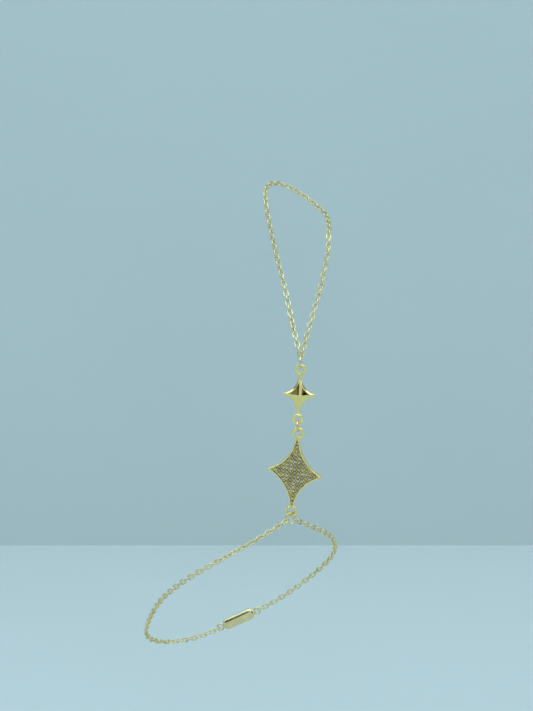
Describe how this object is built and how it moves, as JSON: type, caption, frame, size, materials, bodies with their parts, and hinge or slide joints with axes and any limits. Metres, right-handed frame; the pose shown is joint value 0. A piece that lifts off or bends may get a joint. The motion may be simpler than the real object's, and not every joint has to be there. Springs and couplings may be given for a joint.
{
  "type": "hand chain bracelet",
  "caption": "Hand chain bracelet in its worn form: a cable chain round the wrist, a stone-set star, a small polished star, and a chain loop for one finger.",
  "frame": {"origin": "a point on the wrist's middle line, inside the wrist chain's loop", "axes": "+Z along the hand from the wrist to the fingers, -Y out of the back of the hand, +X to the right as the back of the hand is looked at"},
  "size_m": [0.0606, 0.0514, 0.1462],
  "materials": {
    "chain": "polished pale gold plating",
    "jump_rings": "polished, slightly warmer gold",
    "polished_metal": "polished pale gold plating",
    "stones": "small cut clear stones"
  },
  "bodies": {
    "root": {"finger_chain": "chain", "top_jump_ring": "jump_rings", "small_star": "polished_metal", "middle_jump_ring": "jump_rings", "large_star": "polished_metal", "pave_stones": "stones", "wrist_jump_ring": "jump_rings", "wrist_chain_left": "chain", "wrist_chain_right": "chain", "clasp": "polished_metal"}
  },
  "joints": []
}
